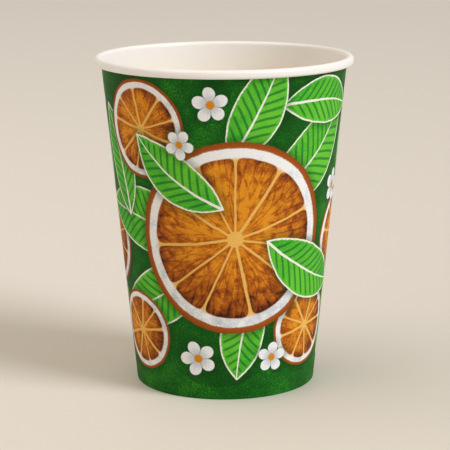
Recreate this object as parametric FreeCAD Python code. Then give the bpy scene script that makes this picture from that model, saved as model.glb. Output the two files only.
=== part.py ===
import FreeCAD, Part
import math
import os

# A tapered paper cup: a side wall rolled from one board blank, and a base pressed from another.
# The frame's origin is on the cup's axis at the level of the table. +Z runs up to the mouth,
# -Y is the front of the print, and the side seam is on the right, just behind the widest line.
# Sizes are in millimetres and angles in degrees.

# Overall form
cup_height = 97.5
rim_diameter = 76.2  # over the rolled rim
foot_diameter = 53.4  # over the wall where it meets the table

# Boards
wall_board = 0.32
base_board = 0.28

# Rolled rim
bead_width = 2.2  # from the inside of the cup to the outermost point
bead_height = 2.55  # from the underside to the top
curl_gap = 0.06  # air between the layers of the curl
curl_end_turn = 60.0  # how far the board's edge runs on after a full turn

# Foot
base_recess = 8.0  # from the table up to the underside of the base
base_corner_radius = 1.1  # between the base's upper face and its skirt
lip_height = 6.0  # top of the wall's edge, which is folded up inside the skirt
fold_radius = 0.05  # on the inner side of the two creases under the skirt
skirt_clearance = 0.2  # between the skirt's edge and the crease below it

# Side seam
lap_width = 6.5  # glued overlap, measured at the rim
ramp_width = 2.5  # over which the board steps out by its own thickness
ramp_start = 0.04  # how deep in the surface the ramp begins
seam_azimuth = 14.0  # of the edge inside the cup, from +X towards +Y

origin = FreeCAD.Vector(0, 0, 0)
vertical = FreeCAD.Vector(0, 0, 1)

# The rim's first bend is a circle, and the wall leans so that it runs into that circle tangentially.
bead_radius = bead_width / 2
bead_centre = FreeCAD.Vector(rim_diameter / 2 - bead_radius, 0, cup_height - bead_radius)
bead_underside = cup_height - bead_height
foot_to_bead = bead_centre - FreeCAD.Vector(foot_diameter / 2, 0, 0)
lean_radians = math.atan2(foot_to_bead.x, foot_to_bead.z) - math.asin(
    (bead_radius - wall_board) / foot_to_bead.Length
)
lean = math.degrees(lean_radians)


def heading(angle):
    """Unit vector in the section plane, with the angle counted from +X towards +Z."""
    a = math.radians(angle)
    return FreeCAD.Vector(math.cos(a), 0, math.sin(a))


def wall_point(height, depth):
    """Point of the section at a height, at a depth counted outwards from the wall's inner face."""
    inner_radius = foot_diameter / 2 - wall_board / math.cos(lean_radians)
    radius = inner_radius + height * math.tan(lean_radians) + depth / math.cos(lean_radians)
    return FreeCAD.Vector(radius, 0, height)


def corner_reach(radius, turn):
    """Length that a bend takes from the straight run on each side of its corner."""
    return radius * math.tan(math.radians(turn) / 2)


def board_side(start, angle, moves, shift):
    """Edges along the moves, each a straight run and then a turn, shifted to the right-hand side."""
    place = start + heading(angle - 90) * shift
    edges = []
    for run, radius, turn in moves:
        ahead = place + heading(angle) * run
        edges.append(Part.makeLine(place, ahead))
        place = ahead
        if turn:
            side = math.copysign(90, turn)
            bend = radius + math.copysign(1, turn) * shift
            centre = place + heading(angle + side) * bend
            middle = centre - heading(angle + side + turn / 2) * bend
            place = centre - heading(angle + side + turn) * bend
            edges.append(Part.Arc(ahead, middle, place).toShape())
            angle += turn
    return edges, place


def board_section(start, angle, moves, board):
    """Face of a board that keeps one thickness through its runs and turns."""
    lined, lined_end = board_side(start, angle, moves, 0)
    outer, outer_end = board_side(start, angle, moves, board)
    outer_start = start + heading(angle - 90) * board
    far_edge = Part.makeLine(lined_end, outer_end)
    near_edge = Part.makeLine(outer_start, start)
    return Part.Face(Part.Wire(lined + [far_edge] + outer[::-1] + [near_edge]))


def rim_moves(wall_run):
    """The wall's run up to the rim, and the curl outwards, down and up again inside itself."""
    layer = wall_board + curl_gap
    return_radius = bead_radius - layer / 2
    flank = bead_height - bead_radius - return_radius
    return [
        (wall_run, bead_radius, lean - 180),
        (flank, return_radius, -180),
        (flank, bead_radius - layer, -curl_end_turn),
    ]


def wall_section():
    """The side wall's board, from the edge folded up inside the foot to the end of the curl."""
    lip_reach = corner_reach(fold_radius, 90 + lean)
    wall_reach = corner_reach(fold_radius, 90 - lean)
    lip_run = (lip_height - wall_board) / math.cos(lean_radians) - lip_reach
    sole_run = base_board / math.cos(lean_radians) - lip_reach - wall_reach
    tangent_point = bead_centre + heading(180 - lean) * bead_radius
    wall_run = (tangent_point - wall_point(wall_board, 0)).Length - wall_reach
    foot_moves = [(lip_run, fold_radius, 90 + lean), (sole_run, fold_radius, 90 - lean)]
    lip_top = wall_point(lip_height, -base_board)
    return board_section(lip_top, -90 - lean, foot_moves + rim_moves(wall_run), wall_board)


def seam_section(low, high, inner_depth, outer_depth, azimuth):
    """Outline of a strip of the wall between two heights and two depths, at an azimuth."""
    corners = [
        wall_point(low, inner_depth),
        wall_point(low, outer_depth),
        wall_point(high, outer_depth),
        wall_point(high, inner_depth),
    ]
    outline = Part.makePolygon(corners + corners[:1])
    outline.rotate(origin, vertical, azimuth)
    return outline


def seam_solids():
    """What the overlap adds outside the wall, and the step that it leaves inside."""
    ramp_azimuth = seam_azimuth + math.degrees(ramp_width / bead_centre.x)
    lap_angle = math.degrees(lap_width / bead_centre.x)
    middle = wall_board / 2

    foot_bend = wall_board + fold_radius
    outside = (foot_bend, bead_underside)
    flap_outline = seam_section(*outside, middle, 2 * wall_board, seam_azimuth)
    flap = Part.Face(flap_outline).revolve(origin, vertical, -lap_angle)
    ramp_outline = seam_section(*outside, middle, wall_board - ramp_start, ramp_azimuth)
    ramp = Part.makeLoft([ramp_outline, flap_outline], True, True)

    inside = (base_recess + base_board, bead_underside - wall_board)
    shallow = seam_section(*inside, -wall_board, -ramp_start, ramp_azimuth)
    deep = seam_section(*inside, -wall_board, wall_board, seam_azimuth)
    step = Part.makeLoft([shallow, deep], True, True)
    return [ramp, flap], step


def side_wall():
    """The rolled blank with its curl, its folded foot and its lapped seam, as one board."""
    around = wall_section().revolve(origin, vertical, 360)
    overlap, step = seam_solids()
    return around.fuse(overlap).cut(step)


def base_disc():
    """The flat base with its skirt, which is gripped between the wall and the folded edge."""
    top = base_recess + base_board
    skirt_end = wall_board + skirt_clearance
    reach = corner_reach(base_corner_radius, 90 + lean)
    disc_run = wall_point(top, 0).x - reach
    skirt_run = (top - skirt_end) / math.cos(lean_radians) - reach
    moves = [(disc_run, base_corner_radius, -90 - lean), (skirt_run, 0, 0)]
    section = board_section(FreeCAD.Vector(0, 0, top), 0, moves, base_board)
    return section.revolve(origin, vertical, 360)


def export(shape, node):
    """Writes one piece, and prints what it came to."""
    shape.exportStep("parts/" + node + ".step")
    print(node, "solids", len(shape.Solids), "valid", shape.isValid(), "mm3", round(shape.Volume, 2))


os.makedirs("parts", exist_ok=True)
export(side_wall(), "side_wall")
export(base_disc(), "base_disc")
print("wall lean in degrees", round(lean, 3))
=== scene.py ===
# A tapered paper cup: a printed side wall with a rolled rim and a lapped seam, and a pressed base.
# Lengths are in millimetres while a mesh is made, and the finished mesh is scaled to metres.
import bmesh
import bpy
import math
from mathutils import Matrix, Vector


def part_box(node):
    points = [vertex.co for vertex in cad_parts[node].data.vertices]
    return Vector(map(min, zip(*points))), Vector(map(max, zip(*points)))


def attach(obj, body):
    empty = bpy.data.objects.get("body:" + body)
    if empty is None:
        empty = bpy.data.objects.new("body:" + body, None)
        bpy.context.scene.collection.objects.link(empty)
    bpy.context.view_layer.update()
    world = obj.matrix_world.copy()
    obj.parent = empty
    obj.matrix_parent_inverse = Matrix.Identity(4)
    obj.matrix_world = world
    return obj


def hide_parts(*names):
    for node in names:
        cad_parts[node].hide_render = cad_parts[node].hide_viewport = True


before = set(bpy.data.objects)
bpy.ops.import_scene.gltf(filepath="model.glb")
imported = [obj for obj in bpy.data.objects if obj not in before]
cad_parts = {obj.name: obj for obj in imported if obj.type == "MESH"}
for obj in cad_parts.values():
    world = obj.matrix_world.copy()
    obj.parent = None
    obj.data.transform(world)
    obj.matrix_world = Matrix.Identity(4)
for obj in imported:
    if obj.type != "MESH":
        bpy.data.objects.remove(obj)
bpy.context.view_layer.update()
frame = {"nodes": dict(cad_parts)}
perMetre = 1000.0
wallHigh, baseHigh = [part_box(node)[1] * perMetre for node in ("side_wall", "base_disc")]
print("frame loaded:", ", ".join(frame["nodes"]))

# The side wall
wallSizes = {
    "board": 0.32,
    "footRadius": 26.7,
    "beadRadius": 1.1,
    "beadHeight": 2.55,
    "curlGap": 0.06,
    "curlEndTurn": 60.0,
    "lipHeight": 6.0,
    "foldRadius": 0.05,
    "lapWidth": 6.5,
    "rampWidth": 2.5,
    "seamAzimuth": 14.0,
    "rimStepShare": 0.3,  # how much of the seam's step is left where the rim is curled
    "cutEdge": 0.02,  # width of the steep face that stands for the board's cut edge
    "shortRow": 0.05,  # rows where the lap's extra layer starts and stops
    "columns": 480,
    "rows": {"lip": 10, "crease": 6, "skirt": 3, "wall": 18, "rim": 17, "fold": 12, "curl": 4},
    "knurls": 120,
    "knurlDepth": 0.1,
    "knurlFade": (0.15, 0.2),  # shares of the lip over which the ridges rise and die away
    "printShift": (0.35, 0.55),  # misfit of the print at the lap, across and along
    "printShiftReach": 56.0,  # degrees over which the misfit fades out
}
wedges = 30  # a board's section is spun through one wedge, and the wedge is copied round
mergeDistance = 0.0005

beadCentre = Vector((wallHigh.x - wallSizes["beadRadius"], 0, wallHigh.z - wallSizes["beadRadius"]))
footToBead = beadCentre - Vector((wallSizes["footRadius"], 0, 0))
leanRadians = math.atan2(footToBead.x, footToBead.z) - math.asin(
    (wallSizes["beadRadius"] - wallSizes["board"]) / footToBead.length
)
lean = math.degrees(leanRadians)
blankRadius = wallSizes["footRadius"] / math.sin(leanRadians)  # of the foot line on the flat blank
blankScale = 100.0  # millimetres of the blank to one unit of its map
printedSide, coatedSide, cutSide = 0, 1, 2  # the wall's materials


def heading(angle):  # direction in the section plane, from +X towards +Z
    a = math.radians(angle)
    return Vector((math.cos(a), 0, math.sin(a)))


def wallPoint(height, depth):  # depth is outwards from the wall's inner face
    inner = wallSizes["footRadius"] - wallSizes["board"] / math.cos(leanRadians)
    radius = inner + height * math.tan(leanRadians) + depth / math.cos(leanRadians)
    return Vector((radius, 0, height))


def cornerReach(radius, turn):  # what a bend takes from the straight run on each side
    return radius * math.tan(math.radians(turn) / 2)


def azimuthOf(place):
    return math.degrees(math.atan2(place.y, place.x))


def straight(run, rows=1):
    return ("straight", run, rows)


def bend(radius, turn, steps):
    return ("bend", radius, turn, steps)


def pull(bm, tip, step):
    added = bmesh.ops.extrude_vert_indiv(bm, verts=[tip])["verts"][0]
    bmesh.ops.translate(bm, verts=[added], vec=step)
    return added


def swing(bm, tip, centre, turn):
    spun = bmesh.ops.spin(
        bm, geom=[tip], cent=centre, axis=(0, -1, 0), angle=math.radians(turn), steps=1
    )
    return [v for v in spun["geom_last"] if isinstance(v, bmesh.types.BMVert)][0]


def drawFace(bm, start, angle, moves, shift, faceNumber, startLength):
    # one face of a board as a chain of vertices, which know their place along the board
    length = bm.verts.layers.float["boardLength"]
    side = bm.verts.layers.float["boardFace"]
    first = tip = bm.verts.new(start + heading(angle - 90) * shift)
    tip[length] = startLength
    tip[side] = faceNumber
    for kind, *sizes in moves:
        if kind == "straight":
            run, parts = sizes
            step = run / parts
        else:
            radius, turn, parts = sizes
            step = radius * abs(math.radians(turn / parts))
            ownRadius = radius + math.copysign(1, turn) * shift
            centre = tip.co + heading(angle + math.copysign(90, turn)) * ownRadius
        for part in range(parts):
            travelled = tip[length] + step
            if kind == "straight":
                tip = pull(bm, tip, heading(angle) * step)
            else:
                tip = swing(bm, tip, centre, turn / parts)
                angle += turn / parts
            tip[length] = travelled
            tip[side] = faceNumber
    return first, tip


def spinBoard(start, angle, moves, board, startLength, columns):
    # the board's section, closed at its cut edges and taken round the cup's axis
    bm = bmesh.new()
    bm.verts.layers.float.new("boardLength")
    bm.verts.layers.float.new("boardFace")
    lined = drawFace(bm, start, angle, moves, 0, 0, startLength)
    outer = drawFace(bm, start, angle, moves, board, 1, startLength)
    for pair in zip(lined, outer):
        if max(v.co.x for v in pair) > board:  # not on the axis, where the section stays open
            bm.edges.new(pair)
    axis = {"cent": (0, 0, 0), "axis": (0, 0, 1)}
    wedge = math.tau / wedges
    bmesh.ops.spin(bm, geom=bm.verts[:] + bm.edges[:], angle=wedge, steps=columns // wedges, **axis)
    whole = bm.verts[:] + bm.edges[:] + bm.faces[:]
    bmesh.ops.spin(bm, geom=whole, angle=math.tau - wedge, steps=wedges - 1, use_duplicate=True, **axis)
    bmesh.ops.remove_doubles(bm, verts=bm.verts, dist=mergeDistance)
    bmesh.ops.recalc_face_normals(bm, faces=bm.faces)
    return bm


def finishPiece(bm, name, materials, sharpDegrees=35):
    bmesh.ops.scale(bm, verts=bm.verts, vec=(1 / perMetre,) * 3)
    bm.normal_update()
    for face in bm.faces:
        face.smooth = True
    for edge in bm.edges:
        edge.smooth = edge.calc_face_angle(0) < math.radians(sharpDegrees)
    mesh = bpy.data.meshes.new(name)
    bm.to_mesh(mesh)
    bm.free()
    for material in materials:
        mesh.materials.append(material)
    piece = bpy.data.objects.new(name, mesh)
    bpy.context.scene.collection.objects.link(piece)
    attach(piece, "root")
    print(name, "has", len(mesh.polygons), "faces")
    return piece


def faceMean(face, layer):
    return sum(v[layer] for v in face.verts) / len(face.verts)


def cutColumn(bm, azimuth, reach=3.0):
    # one more line of vertices up the wall, at its own azimuth
    near = [f for f in bm.faces if abs(azimuthOf(f.calc_center_median()) - azimuth) < reach]
    geom = set(near)
    for face in near:
        geom.update(face.verts)
        geom.update(face.edges)
    a = math.radians(azimuth)
    across = (-math.sin(a), math.cos(a), 0)
    bmesh.ops.bisect_plane(bm, geom=list(geom), dist=0.0001, plane_co=(0, 0, 0), plane_no=across)


def layOutWall():
    # the moves along the board, and the lengths at which its stretches begin
    s = wallSizes
    layerRadius = s["beadRadius"] - s["board"] - s["curlGap"]
    returnRadius = (s["beadRadius"] + layerRadius) / 2
    flank = s["beadHeight"] - s["beadRadius"] - returnRadius
    lipReach = cornerReach(s["foldRadius"], 90 + lean)
    wallReach = cornerReach(s["foldRadius"], 90 - lean)
    lipRun = (s["lipHeight"] - s["board"]) / math.cos(leanRadians) - lipReach
    soleRun = baseSizes["board"] / math.cos(leanRadians) - lipReach - wallReach
    crease = wallPoint(s["board"], 0)
    tangentPoint = beadCentre + heading(180 - lean) * s["beadRadius"]
    wallRun = (tangentPoint - crease).length - wallReach
    creaseLength = crease.z / math.cos(leanRadians)

    marks = {"wall": creaseLength + wallReach, "rim": creaseLength + wallReach + wallRun}
    marks["lip"] = marks["wall"] - lipRun - soleRun - s["foldRadius"] * math.pi
    marks["lipEnd"] = marks["lip"] + lipRun
    marks["base"] = baseHigh.z / math.cos(leanRadians)
    marks["bead"] = (wallHigh.z - s["beadHeight"]) / math.cos(leanRadians)
    short = s["shortRow"]
    rows = s["rows"]
    moves = [
        straight(lipRun, rows["lip"]),
        bend(s["foldRadius"], 90 + lean, rows["crease"]),
        straight(soleRun),
        bend(s["foldRadius"], 90 - lean, rows["crease"]),
        straight(short),
        straight(marks["base"] - marks["wall"] - short, rows["skirt"]),
        straight(short),
        straight(marks["bead"] - marks["base"] - 2 * short, rows["wall"]),
        straight(short),
        straight(marks["rim"] - marks["bead"]),
        bend(s["beadRadius"], lean - 180, rows["rim"]),
        straight(flank),
        bend(returnRadius, -180, rows["fold"]),
        straight(flank),
        bend(layerRadius, -s["curlEndTurn"], rows["curl"]),
    ]
    return moves, marks


def layOutSeam():
    s = wallSizes
    arc = beadCentre.x
    inner = s["seamAzimuth"]
    return {
        "cut": math.degrees(s["cutEdge"] / arc),
        "flap": inner - math.degrees(s["lapWidth"] / arc),  # the outer layer's cut edge
        "inner": inner,  # the inner layer's cut edge
        "ramp": inner + math.degrees(s["rampWidth"] / arc),  # where the step has run out
    }


def raiseSeam(bm, marks, seam):
    # outside, the flap stands one board proud; inside, its board lies one board back past the cut edge
    s = wallSizes
    for edge, past in (("flap", -1), ("flap", 0), ("inner", 0), ("inner", 1), ("ramp", 0)):
        cutColumn(bm, seam[edge] + past * seam["cut"])
    bm.normal_update()
    length = bm.verts.layers.float["boardLength"]
    side = bm.verts.layers.float["boardFace"]
    half = s["shortRow"] / 2
    flapFrom = seam["flap"] - seam["cut"] / 4
    stepFrom = seam["inner"] + seam["cut"] * 3 / 4
    pushes = []
    for v in bm.verts:
        azimuth = azimuthOf(v.co)
        if not flapFrom < azimuth < seam["ramp"]:
            continue
        share = min(1, (seam["ramp"] - azimuth) / (seam["ramp"] - seam["inner"]))
        if v[side] > 0.5 and marks["wall"] + half < v[length] < marks["bead"] - half:
            pushes.append((v, v.normal * s["board"] * share))
        elif v[side] < 0.5 and v[length] > marks["base"] + half and azimuth > stepFrom:
            share *= s["rimStepShare"] if v[length] > marks["rim"] else 1
            pushes.append((v, -v.normal * s["board"] * share))
    for v, push in pushes:
        v.co += push


def pressKnurls(bm, marks):
    # ridges that the knurling wheel leaves in the folded edge under the cup
    s = wallSizes
    rise, fall = s["knurlFade"]
    length = bm.verts.layers.float["boardLength"]
    side = bm.verts.layers.float["boardFace"]
    for v in bm.verts:
        along = (v[length] - marks["lip"]) / (marks["lipEnd"] - marks["lip"])
        if v[side] > 0.5 and 0 < along < 1:
            fade = min(1, along / rise, (1 - along) / fall)
            wave = 0.5 - 0.5 * math.cos(math.radians(azimuthOf(v.co)) * s["knurls"])
            v.co -= v.normal * s["knurlDepth"] * wave * fade


def mapBlank(bm, marks, seam):
    # where each printed face lies on the flat blank, which holds the design twice, and what each face shows
    s = wallSizes
    length = bm.verts.layers.float["boardLength"]
    side = bm.verts.layers.float["boardFace"]
    blank = bm.loops.layers.uv.new("blankMap")
    for face in bm.faces:
        azimuth = azimuthOf(face.calc_center_median())
        place = faceMean(face, length)
        share = faceMean(face, side)
        flapCut = seam["flap"] - seam["cut"] < azimuth < seam["flap"]
        flapCut = flapCut and marks["wall"] < place < marks["bead"]
        innerCut = seam["inner"] < azimuth < seam["inner"] + seam["cut"] and place > marks["base"]
        if share > 0.99:
            face.material_index = cutSide if flapCut else printedSide
        elif share < 0.01:
            face.material_index = cutSide if innerCut else coatedSide
        else:
            face.material_index = cutSide

        turn = (azimuth + 270) % 360 - 180  # from the front of the print
        repeatTurn = 0 if abs(turn) <= 90 else math.copysign(180, turn)
        past = (azimuth - seam["flap"]) / s["printShiftReach"]
        misfit = 1 - past if 0 < past < 1 else 0
        for loop in face.loops:
            extra = (azimuthOf(loop.vert.co) - azimuth + 180) % 360 - 180
            phi = math.radians(turn + extra - repeatTurn) * math.sin(leanRadians)
            rho = blankRadius + loop.vert[length] + misfit * s["printShift"][1]
            across = rho * math.sin(phi) + misfit * s["printShift"][0]
            loop[blank].uv = (across / blankScale, (rho * math.cos(phi) - blankRadius) / blankScale)


def buildWall(materials):
    moves, marks = layOutWall()
    seam = layOutSeam()
    lipTop = wallPoint(wallSizes["lipHeight"], -baseSizes["board"])
    bm = spinBoard(lipTop, -90 - lean, moves, wallSizes["board"], marks["lip"], wallSizes["columns"])
    print("wall spun")
    raiseSeam(bm, marks, seam)
    pressKnurls(bm, marks)
    mapBlank(bm, marks, seam)
    wall = finishPiece(bm, "cup_wall", materials)
    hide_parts("side_wall")


# The base
baseSizes = {
    "board": 0.28,
    "cornerRadius": 1.1,
    "skirtEnd": 0.52,
    "columns": 360,
    "rows": {"disc": 14, "corner": 9, "skirt": 6},
    "pleats": 60,
    "pleatDepth": 0.035,
    "pleatReach": (0.6, 1.0),  # how far the pleats run on before and after the corner
}


def buildBase(materials):
    s = baseSizes
    top = baseHigh.z
    reach = cornerReach(s["cornerRadius"], 90 + lean)
    discRun = wallPoint(top, 0).x - reach
    skirtRun = (top - s["skirtEnd"]) / math.cos(leanRadians) - reach
    rows = s["rows"]
    corner = bend(s["cornerRadius"], -90 - lean, rows["corner"])
    moves = [straight(discRun, rows["disc"]), corner, straight(skirtRun, rows["skirt"])]
    bm = spinBoard(Vector((0, 0, top)), 0, moves, s["board"], 0, s["columns"])
    bm.normal_update()
    length = bm.verts.layers.float["boardLength"]
    side = bm.verts.layers.float["boardFace"]
    before, after = s["pleatReach"]
    pleated = s["cornerRadius"] * math.radians(90 + lean) + before + after
    for v in bm.verts:
        # small pleats where the disc's edge is drawn down into the skirt
        along = (v[length] - discRun + before) / pleated
        if v[side] > 0.5 and 0 < along < 1:
            wave = 0.5 - 0.5 * math.cos(math.radians(azimuthOf(v.co)) * s["pleats"])
            v.co -= v.normal * s["pleatDepth"] * wave * math.sin(math.pi * along)
    for face in bm.faces:
        face.material_index = 0 if faceMean(face, side) < 0.01 else 1
    base = finishPiece(bm, "cup_base", materials)
    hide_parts("base_disc")


# Shader values that can be written as sums
class wire:
    def __init__(self, tree, socket):
        self.tree = tree
        self.socket = socket

    def calc(self, operation, *others):
        node = self.tree.nodes.new("ShaderNodeMath")
        node.operation = operation
        for socket, value in zip(node.inputs, (self, *others)):
            plug(self.tree, socket, value)
        return wire(self.tree, node.outputs[0])

    def __add__(self, other):
        return self.calc("ADD", other)

    def __mul__(self, other):
        return self.calc("MULTIPLY", other)

    def __sub__(self, other):
        return self.calc("SUBTRACT", other)

    def __truediv__(self, other):
        return self.calc("DIVIDE", other)

    def __pow__(self, other):
        return self.calc("POWER", other)

    def __abs__(self):
        return self.calc("ABSOLUTE")

    def parts(self):
        node = addNode(self.tree, "SeparateXYZ", self)
        return [wire(self.tree, socket) for socket in node.outputs]


def plug(tree, socket, value):
    if isinstance(value, wire):
        tree.links.new(value.socket, socket)
    else:
        socket.default_value = value


def addNode(tree, kind, *values, **settings):
    node = tree.nodes.new("ShaderNode" + kind)
    for name, value in settings.items():
        setattr(node, name, value)
    for socket, value in zip(node.inputs, values):
        plug(tree, socket, value)
    return node


def vectorOf(t, x, y, z=0.0):
    return wire(t, addNode(t, "CombineXYZ", x, y, z).outputs[0])


def distance(t, x, y):
    return wire(t, addNode(t, "VectorMath", vectorOf(t, x, y), operation="LENGTH").outputs["Value"])


def soften(value, low, high):  # 0 up to low and 1 from high on, or the other way round
    node = addNode(value.tree, "MapRange", value, low, high, interpolation_type="SMOOTHSTEP")
    return wire(value.tree, node.outputs[0])


def choose(share, under, over):  # mixes two vectors
    node = addNode(share.tree, "Mix", share, data_type="VECTOR")
    plug(share.tree, node.inputs[4], under)
    plug(share.tree, node.inputs[5], over)
    return wire(share.tree, node.outputs[1])


def cover(share, under, over):  # mixes two colours
    node = addNode(share.tree, "Mix", share, data_type="RGBA")
    plug(share.tree, node.inputs[6], under)
    plug(share.tree, node.inputs[7], over)
    return wire(share.tree, node.outputs[2])


def colourRamp(share, *stops):
    node = addNode(share.tree, "ValToRGB", share)
    elements = node.color_ramp.elements
    elements[0].position, elements[0].color = stops[0]
    elements[1].position, elements[1].color = stops[-1]
    for place, colour in stops[1:-1]:
        elements.new(place).color = colour
    return wire(share.tree, node.outputs[0])


def noise(t, vector, scale, detail=2.0, roughness=0.5):  # from about -0.5 to 0.5
    node = addNode(t, "TexNoise")
    for name, value in (("Vector", vector), ("Scale", scale), ("Detail", detail), ("Roughness", roughness)):
        plug(t, node.inputs[name], value)
    return wire(t, node.outputs["Fac"]) - 0.5


def tint(red, green, blue):  # a screen colour as the linear colour that a shader takes
    shares = [value / 255 for value in (red, green, blue)]
    linear = [v / 12.92 if v <= 0.04045 else ((v + 0.055) / 1.055) ** 2.4 for v in shares]
    return (*linear, 1.0)


def newMaterial(name, roughness, specular):
    material = bpy.data.materials.new(name)
    material.use_nodes = True
    shader = material.node_tree.nodes["Principled BSDF"]
    shader.inputs["Roughness"].default_value = roughness
    shader.inputs["Specular IOR Level"].default_value = specular
    return material, material.node_tree, shader


def addRelief(t, shader, height, depth, strength):
    node = addNode(t, "Bump")
    for name, value in (("Height", height), ("Distance", depth), ("Strength", strength)):
        plug(t, node.inputs[name], value)
    t.links.new(node.outputs[0], shader.inputs["Normal"])


# The print: citrus slices, leaves and blossoms on dark green
inks = {
    "groundDeep": tint(8, 62, 12),
    "ground": tint(20, 98, 24),
    "groundLight": tint(56, 148, 34),
    "leafBright": tint(104, 200, 54),
    "leafMid": tint(34, 158, 40),
    "leafDark": tint(4, 112, 42),
    "line": tint(242, 244, 234),
    "pith": tint(242, 245, 248),
    "pithShade": tint(160, 172, 190),
    "wallGold": tint(236, 186, 96),
    "pulpGold": tint(228, 148, 34),
    "pulpMid": tint(170, 88, 22),
    "pulpDark": tint(74, 32, 18),
    "peel": tint(146, 74, 24),
    "peelDark": tint(76, 36, 18),
    "stamen": tint(214, 140, 30),
    "bare": tint(240, 236, 226),
}
# motifs in the order they are laid down: kind, place across and up the blank, turn, and their sizes,
# which are a leaf's half length, half width and bow, a slice's radius and segments, a blossom's radius
frontMotifs = [
    ("leaf", 29, 70, 38, 23, 9.5, 0.006),
    ("leaf", 34, 86, -10, 17, 7.0, -0.008),
    ("leaf", 10, 86, 62, 17, 7.5, 0.004),
    ("leaf", -25, 52, 172, 22, 9.5, 0.006),
    ("leaf", -20, 30, 214, 21, 8.5, -0.006),
    ("leaf", 5, 20, -102, 14, 6.5, 0.006),
    ("leaf", -37, 68, 112, 17, 7.0, 0.006),
    ("slice", 27, 19, 32, 12.5, 9),
    ("blossom", 14, 12, 10, 4.6),
    ("blossom", -8, 12.5, 40, 5.4),
    ("slice", -26, 79, 20, 14.5, 9),
    ("blossom", -4, 88, 24, 5.2),
    ("blossom", 42, 58, 0, 5.0),
    ("slice", 3, 49, -12, 28.5, 11),
    ("slice", -29, 17, 50, 12.0, 9),
    ("leaf", 27, 36, -32, 19, 8.0, 0.006),
    ("leaf", -15, 66, 145, 17, 6.8, -0.006),
    ("blossom", -13, 76, 62, 4.4),
]
borderMotifs = [  # height, turn and sizes on the line between the two repeats
    ("leaf", 70.0, 98, 15, 6.5, 0.006),
    ("leaf", 22.0, 258, 15, 6.5, -0.006),
    ("slice", 45.0, 14, 15.0, 9),
    ("blossom", 86.0, 0, 5.0),
]
faintLeaves = [  # place across and up the blank, turn, half length and half width
    (-38, 91, 20, 12, 5),
    (16, 88, 12, 15, 6),
    (0, 9, 8, 15, 5),
    (42, 44, 84, 14, 5),
    (-38, 36, 80, 12, 5),
]
motifSizes = {
    "leaf": ["HalfLength", "HalfWidth", "Bow"],
    "slice": ["Radius", "Segments"],
    "blossom": ["Radius"],
}
motifNumbers = {"leaf": 1.0, "slice": 2.0, "blossom": 3.0}
printLook = {
    "roughness": 0.55,
    "specular": 0.1,
    "footBand": 3.2,
    "bareBelow": -3.0,
    "shadeReach": 3.0,
    "shade": 0.5,
    "wander": 0.7,  # how far the hand-drawn outlines leave their true shapes
    "wandersPerMm": (0.13, 0.17),
    "cloudsPerMm": 0.09,
    "clouds": 0.8,
    "speckPerMm": 1.8,
    "speck": 1.1,
    "faintInk": 0.45,
    "faintBow": 0.006,
    "grainPerMm": 3.4,
    "grain": 0.9,
    "reliefPerMm": 0.6,
    "reliefDepth": 0.00004,
    "relief": 0.35,
}
leafLook = {
    "veinsPerMm": 0.36,
    "veinSweep": 1.25,
    "veinInk": 0.75,
    "ribWidth": 0.14,
    "outlineInset": 0.22,
    "outlineBreak": 0.9,  # how rough the edges of the pale line are
    "tipShade": 0.35,
    "halfShade": 0.2,
    "cloudsPerMm": 0.2,
    "clouds": 0.8,
    "speck": 1.3,
}
blossomLook = {
    "petals": 5,
    "notch": 0.55,  # share of the radius that the outline draws in between two petals
    "heart": 0.24,
    "middleShade": 0.55,
    "creaseShade": 0.6,
    "rays": 6.0,
    "rayShade": 0.16,
    "edgeShade": 0.35,
    "speck": 0.6,
}
sliceLook = {
    "pithFrom": 0.855,
    "peelFrom": 0.936,
    "core": 0.07,
    "roundness": 0.1,
    "unevenness": 0.13,
    "sacsAround": 9.0,
    "sacsOut": 4.6,
    "rimShade": 0.7,
    "lightSide": 0.3,
    "sacShade": 0.22,
    "streakShade": 0.6,
    "wallShade": 0.18,
    "cloudsPerMm": 0.28,
    "clouds": 1.2,
    "speck": 0.75,
}


def motifGroup(kind):
    # where a spot lies in a motif's own frame, with the distance in from its outline as the third number
    t = bpy.data.node_groups.new(kind + "Place", "ShaderNodeTree")
    inputs = {"Spot": "Vector", "Centre": "Vector", "Turn": "Float"}
    inputs.update({name: "Float" for name in motifSizes[kind]})
    for name, type in inputs.items():
        t.interface.new_socket(name=name, in_out="INPUT", socket_type="NodeSocket" + type)
    for name, type in {"Local": "Vector", "Cover": "Float", "Shade": "Float"}.items():
        t.interface.new_socket(name=name, in_out="OUTPUT", socket_type="NodeSocket" + type)
    entry = t.nodes.new("NodeGroupInput")
    given = {name: wire(t, entry.outputs[name]) for name in inputs}
    result = t.nodes.new("NodeGroupOutput").inputs

    away = addNode(t, "VectorMath", given["Spot"], given["Centre"], operation="SUBTRACT")
    offset = wire(t, away.outputs[0])
    turned = addNode(t, "VectorRotate", rotation_type="Z_AXIS", invert=True)
    plug(t, turned.inputs["Vector"], offset)
    plug(t, turned.inputs["Angle"], given["Turn"])
    x, y = wire(t, turned.outputs[0]).parts()[:2]
    if kind == "leaf":
        # two circles that cross at the tips
        y = y - x * x * given["Bow"]
        halfLength, halfWidth = given["HalfLength"], given["HalfWidth"]
        circle = (halfLength * halfLength + halfWidth * halfWidth) / (halfWidth * 2.0)
        inside = circle - distance(t, x, abs(y) + circle - halfWidth)
    elif kind == "slice":
        inside = given["Radius"] - distance(t, x, y)
    else:
        notch = blossomLook["notch"]
        angle = y.calc("ARCTAN2", x) * (blossomLook["petals"] / 2)
        reach = abs(angle.calc("COSINE")) ** 0.6 * notch + (1 - notch)
        inside = given["Radius"] * reach - distance(t, x, y)
    plug(t, result["Local"], vectorOf(t, x, y, inside))
    plug(t, result["Cover"], inside.calc("GREATER_THAN", 0.0))
    plug(t, result["Shade"], soften(inside, -printLook["shadeReach"], 0.3))
    return t


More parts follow.
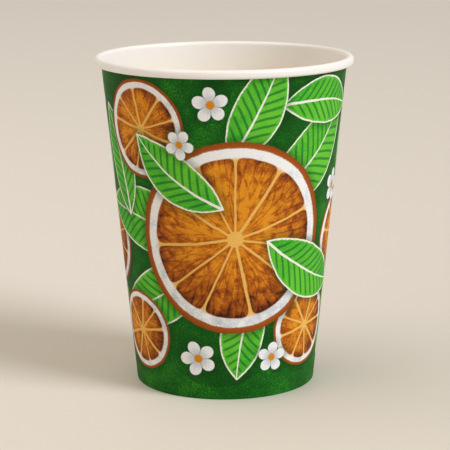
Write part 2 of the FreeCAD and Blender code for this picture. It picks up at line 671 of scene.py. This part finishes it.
def leafColour(t, spot, x, y, inside, halfLength, fine):
    look = leafLook
    away = abs(y)
    along = x / halfLength
    clouds = noise(t, spot, look["cloudsPerMm"], 2.0, 0.6) * look["clouds"]
    depth = abs(along) * look["tipShade"] + soften(y, -0.12, 0.12) * look["halfShade"]
    depth = depth + clouds + fine * look["speck"]
    colour = colourRamp(depth, (0.0, inks["leafBright"]), (0.75, inks["leafMid"]))
    # side veins sweep forward from the midrib
    sweep = (x - away**0.8 * look["veinSweep"]) * look["veinsPerMm"]
    vein = soften(abs(sweep.calc("FRACT") - 0.5), 0.24, 0.1) * soften(inside, 0.4, 1.6)
    colour = cover(vein * look["veinInk"], colour, inks["leafDark"])
    midrib = soften(away + (along - 1.0) * look["ribWidth"], 0.2, 0.08)
    outline = soften(abs(inside - look["outlineInset"]) + fine * look["outlineBreak"], 0.34, 0.16)
    return cover(midrib.calc("MAXIMUM", outline), colour, inks["line"])


def blossomColour(t, x, y, inside, radius, fine):
    look = blossomLook
    share = distance(t, x, y) / radius
    angle = y.calc("ARCTAN2", x) * (look["petals"] / 2)
    crease = soften(abs(angle.calc("COSINE")), 0.2, 0.02)
    ray = abs((angle * look["rays"]).calc("SINE")) ** 3.0
    middle = soften(share, 0.85, 0.2)
    depth = middle * look["middleShade"] + crease * look["creaseShade"] + ray * look["rayShade"]
    depth = depth + soften(inside, 0.35, 0.0) * look["edgeShade"] + fine * look["speck"]
    petal = colourRamp(depth, (0.1, inks["pith"]), (1.0, inks["pithShade"]))
    heart = soften(share + fine * 0.16, look["heart"] + 0.03, look["heart"] - 0.03)
    return cover(heart, petal, inks["stamen"])


def sliceColour(t, spot, x, y, radius, segments, fine):
    look = sliceLook
    cloud = noise(t, spot, look["cloudsPerMm"], 2.0, 0.6)
    r = distance(t, x, y)
    angle = y.calc("ARCTAN2", x)
    share = r / radius

    # segments between thin walls that run out from the middle, a little unevenly
    cell = angle * segments / math.tau + (angle * 3.0).calc("SINE") * look["unevenness"]
    edge = abs(cell.calc("FRACT") - 0.5) * -1.0 + 0.5
    toWall = edge * r * math.tau / segments
    toPith = (share * -1.0 + look["pithFrom"]) * radius
    toCore = (share - look["core"]) * radius
    inside = toWall.calc("SMOOTH_MIN", toPith * 0.7, radius * look["roundness"]).calc("MINIMUM", toCore)

    # juice sacs: long cells that point to the middle
    sacSpot = vectorOf(t, angle * look["sacsAround"], share * look["sacsOut"])
    sacs = addNode(t, "TexVoronoi", voronoi_dimensions="2D", feature="DISTANCE_TO_EDGE")
    plug(t, sacs.inputs["Vector"], sacSpot)
    plug(t, sacs.inputs["Scale"], 1.0)
    sacWall = soften(wire(t, sacs.outputs["Distance"]), 0.16, 0.02)
    streak = noise(t, vectorOf(t, angle * 14.0, share * 2.5), 1.0)

    light = (y * 0.7 - x * 0.35) / radius
    depth = share**2.2 * look["rimShade"] - light * look["lightSide"]
    depth = depth + sacWall * look["sacShade"] + streak * look["streakShade"]
    depth = depth + cloud * look["clouds"] + fine * look["speck"]
    depth = depth + soften(inside, 2.2, 0.3) * look["wallShade"]
    pulp = colourRamp(depth, (0.02, inks["pulpGold"]), (0.42, inks["pulpMid"]), (0.9, inks["pulpDark"]))
    pithDepth = (cloud * 1.5 + 0.12) - light * 0.35 + fine * 0.9
    pith = colourRamp(pithDepth, (0.1, inks["pith"]), (0.95, inks["pithShade"]))
    walls = cover(soften(toPith, 0.0, 1.4), pith, inks["wallGold"])
    body = cover(soften(inside, 0.2, 0.5), walls, pulp)

    peelShare = soften(share + fine * 0.02, look["peelFrom"] - 0.008, look["peelFrom"] + 0.008)
    peelDepth = (share - look["peelFrom"]) * 9.0 + fine
    peel = colourRamp(peelDepth, (0.0, inks["pulpMid"]), (0.5, inks["peel"]), (1.0, inks["peelDark"]))
    return cover(peelShare, body, peel)


def layMotif(t, group, spot, across, up, turn, sizes):
    node = t.nodes.new("ShaderNodeGroup")
    node.node_tree = group
    values = [spot, (across, up, 0), math.radians(turn), *sizes]
    for socket, value in zip(node.inputs, values):
        plug(t, socket, value)
    return [wire(t, node.outputs[name]) for name in ("Local", "Cover", "Shade")]


def onBorder():
    # motifs on the line between the two repeats are laid down at both of its sides
    placed = []
    halfAngle = math.radians(90) * math.sin(leanRadians)
    for way in (-1, 1):
        for kind, up, turn, *sizes in borderMotifs:
            rho = blankRadius + up
            across = way * rho * math.sin(halfAngle)
            height = rho * math.cos(halfAngle) - blankRadius
            placed.append((kind, across, height, turn - way * math.degrees(halfAngle), *sizes))
    return placed


def printedBoard():
    look = printLook
    material, t, shader = newMaterial("printedBoard", look["roughness"], look["specular"])
    blank = wire(t, addNode(t, "UVMap", uv_map="blankMap").outputs[0])
    scaled = addNode(t, "VectorMath", blank, operation="SCALE")
    plug(t, scaled.inputs["Scale"], blankScale)
    spot = wire(t, scaled.outputs[0])
    blankX, blankY = spot.parts()[:2]
    height = distance(t, blankX, blankY + blankRadius) - blankRadius
    fine = noise(t, spot, look["speckPerMm"], 3.0, 0.7)

    # each spot keeps the uppermost motif that covers it, its sizes, and the shade of those above
    sideways, upwards = [noise(t, spot, scale) * look["wander"] for scale in look["wandersPerMm"]]
    drawn = vectorOf(t, blankX + sideways, blankY + upwards)
    groups = {kind: motifGroup(kind) for kind in motifSizes}
    local, facts = (0.0, 0.0, 0.0), (0.0, 0.0, 0.0)
    shade = height * 0.0
    for kind, across, up, turn, *sizes in onBorder() + frontMotifs:
        ownPlace, covered, ownShade = layMotif(t, groups[kind], drawn, across, up, turn, sizes)
        local = choose(covered, local, ownPlace)
        facts = choose(covered, facts, (sizes[0], sizes[-1], motifNumbers[kind]))
        shade = shade.calc("MAXIMUM", ownShade) * (covered * -1.0 + 1.0)
    faint = height * 0.0
    for across, up, turn, halfLength, halfWidth in faintLeaves:
        sizes = (halfLength, halfWidth, look["faintBow"])
        faint = faint.calc("MAXIMUM", layMotif(t, groups["leaf"], drawn, across, up, turn, sizes)[1])

    clouds = noise(t, spot, look["cloudsPerMm"], 3.0, 0.6) * look["clouds"]
    depth = clouds + fine * look["speck"] + 0.5
    stops = ((0.22, inks["groundDeep"]), (0.52, inks["ground"]), (0.78, inks["groundLight"]))
    ground = colourRamp(depth, *stops)
    colour = cover(faint * look["faintInk"], ground, inks["groundDeep"])
    x, y, inside = local.parts()
    size, segments, number = facts.parts()
    motifColours = {
        "leaf": leafColour(t, spot, x, y, inside, size, fine),
        "blossom": blossomColour(t, x, y, inside, size, fine),
        "slice": sliceColour(t, spot, x, y, size, segments, fine),
    }
    for kind, motifColour in motifColours.items():
        colour = cover(number.calc("COMPARE", motifNumbers[kind], 0.2), colour, motifColour)
    colour = cover(shade * look["shade"], colour, inks["groundDeep"])

    # the foot band, the grain of the ink, and the bare margin folded up under the cup
    band = look["footBand"]
    colour = cover(soften(height + fine * 0.5, band + 0.3, band), colour, ground)
    grain = noise(t, spot, look["grainPerMm"], 2.0, 0.8)
    toned = addNode(t, "HueSaturation")
    plug(t, toned.inputs["Value"], grain * look["grain"] + 1.0)
    plug(t, toned.inputs["Color"], colour)
    bareBelow = look["bareBelow"]
    colour = cover(soften(height, bareBelow + 0.1, bareBelow), wire(t, toned.outputs[0]), inks["bare"])
    plug(t, shader.inputs["Base Color"], colour)
    surface = grain + noise(t, spot, look["reliefPerMm"])
    addRelief(t, shader, surface, look["reliefDepth"], look["relief"])
    return material


# White board, coated on the drink's side, bare under the base, and rough where it is cut
boardLooks = {  # roughness, specular, light tone, dark tone, flecks and how strong they are
    "coatedBoard": (0.36, 0.5, tint(249, 248, 247), tint(246, 244, 242), tint(236, 230, 220), 0.2),
    "bareBoard": (0.72, 0.3, tint(243, 238, 228), tint(236, 229, 216), tint(206, 190, 166), 0.5),
    "rawEdge": (0.8, 0.2, tint(238, 230, 214), tint(214, 202, 182), tint(180, 160, 132), 0.5),
}
# painted warm shade: the coat is drawn creamier down inside, standing in for the warm bounced light and
# shade in the cup
insideShadeTone = {"colour": tint(252, 244, 230), "from": 0.096, "full": 0.082}
boardGrain = {
    "cloudsPerMetre": 90.0,
    "fibresPerMetre": 1800.0,
    "flecksPerMetre": 2600.0,
    "reliefDepth": 0.00003,
    "relief": 0.3,
}


def whiteBoard(name):
    grain = boardGrain
    roughness, specular, light, dark, fleck, fleckShare = boardLooks[name]
    material, t, shader = newMaterial(name, roughness, specular)
    place = wire(t, addNode(t, "TexCoord").outputs["Object"])
    cloud = noise(t, place, grain["cloudsPerMetre"], 3.0, 0.6)
    fibre = noise(t, place, grain["fibresPerMetre"], 2.0, 0.7)
    colour = colourRamp(cloud * 0.6 + fibre * 0.4 + 0.5, (0.3, dark), (0.7, light))
    if name == "coatedBoard":
        # painted shade: the coat turns creamier lower down, for the warm shade inside the cup
        paintedInsideShade = soften(place.parts()[2], insideShadeTone["from"], insideShadeTone["full"])
        colour = cover(paintedInsideShade, colour, insideShadeTone["colour"])
    flecks = soften(noise(t, place, grain["flecksPerMetre"], 1.0), 0.18, 0.28)
    colour = cover(flecks * fleckShare, colour, fleck)
    plug(t, shader.inputs["Base Color"], colour)
    addRelief(t, shader, fibre + cloud, grain["reliefDepth"], grain["relief"])
    return material


# The studio
studio = {
    "cameraPlace": (0.00007, -0.5318, 0.1592),
    "cameraPitch": 0.2092,
    "cameraRoll": -0.0046,
    "lens": 145.0,
    "floorSize": 8.0,
    "floorColour": tint(232, 226, 218),
    "worldColour": (1.0, 0.86, 0.7, 1.0),
    "worldStrength": 0.31,
    "aim": (0, 0, 0.05),
}
lamps = {  # kind, place, size, power and colour; a sun's size is its angle
    "keyLamp": ("SUN", (0.74, -0.42, 0.64), math.radians(26), 2.08, (0.965, 0.987, 1.0)),
    "topLamp": ("AREA", (-0.4, 0.0, 1.05), 0.9, 3.6, (1.0, 0.94, 0.84)),
    "fillLamp": ("AREA", (-0.75, -0.7, 0.4), 0.9, 1.3, (1.0, 0.88, 0.72)),
}


def addToScene(name, data, matrix=None):
    item = bpy.data.objects.new(name, data)
    bpy.context.scene.collection.objects.link(item)
    if matrix:
        item.matrix_world = matrix
    return item


def buildFloor():
    bm = bmesh.new()
    bmesh.ops.create_grid(bm, x_segments=1, y_segments=1, size=studio["floorSize"])
    mesh = bpy.data.meshes.new("studioFloor")
    bm.to_mesh(mesh)
    bm.free()
    material, t, shader = newMaterial("paleFloor", 0.6, 0.3)
    shader.inputs["Base Color"].default_value = studio["floorColour"]
    mesh.materials.append(material)
    addToScene("studioFloor", mesh)


def buildWorld():
    # soft light from all round, and a pale background where it is seen
    world = bpy.data.worlds.new("studioWorld")
    world.use_nodes = True
    t = world.node_tree
    background = t.nodes["Background"]
    background.inputs["Color"].default_value = studio["worldColour"]
    background.inputs["Strength"].default_value = studio["worldStrength"]
    pale = addNode(t, "Background", studio["floorColour"])
    path = addNode(t, "LightPath")
    seen = [wire(t, path.outputs["Is " + kind + " Ray"]) for kind in ("Camera", "Glossy", "Transmission")]
    either = addNode(t, "MixShader", seen[0].calc("MAXIMUM", seen[1]).calc("MAXIMUM", seen[2]))
    t.links.new(background.outputs[0], either.inputs[1])
    t.links.new(pale.outputs[0], either.inputs[2])
    t.links.new(either.outputs[0], t.nodes["World Output"].inputs["Surface"])
    bpy.context.scene.world = world


def buildLamps():
    for name, (kind, place, size, power, colour) in lamps.items():
        lamp = bpy.data.lights.new(name, kind)
        if kind == "SUN":
            lamp.angle = size
        else:
            lamp.shape = "DISK"
            lamp.size = size
        lamp.energy = power
        lamp.color = colour
        aim = Vector(studio["aim"]) - Vector(place)
        turn = aim.to_track_quat("-Z", "Y").to_matrix().to_4x4()
        addToScene(name, lamp, Matrix.Translation(place) @ turn)


def buildCamera():
    lens = bpy.data.cameras.new("camera")
    lens.lens = studio["lens"]
    lens.sensor_width = 36.0
    lens.clip_start = 0.01
    tilt = Matrix.Rotation(math.pi / 2 - studio["cameraPitch"], 4, "X")
    roll = Matrix.Rotation(studio["cameraRoll"], 4, "Z")
    camera = addToScene("camera", lens, Matrix.Translation(studio["cameraPlace"]) @ tilt @ roll)
    bpy.context.scene.camera = camera
    bpy.context.scene.view_settings.view_transform = "Standard"


coated = whiteBoard("coatedBoard")
buildWall([printedBoard(), coated, whiteBoard("rawEdge")])
buildBase([coated, whiteBoard("bareBoard")])
print("cup built")
buildFloor()
buildWorld()
buildLamps()
buildCamera()
print("studio built")
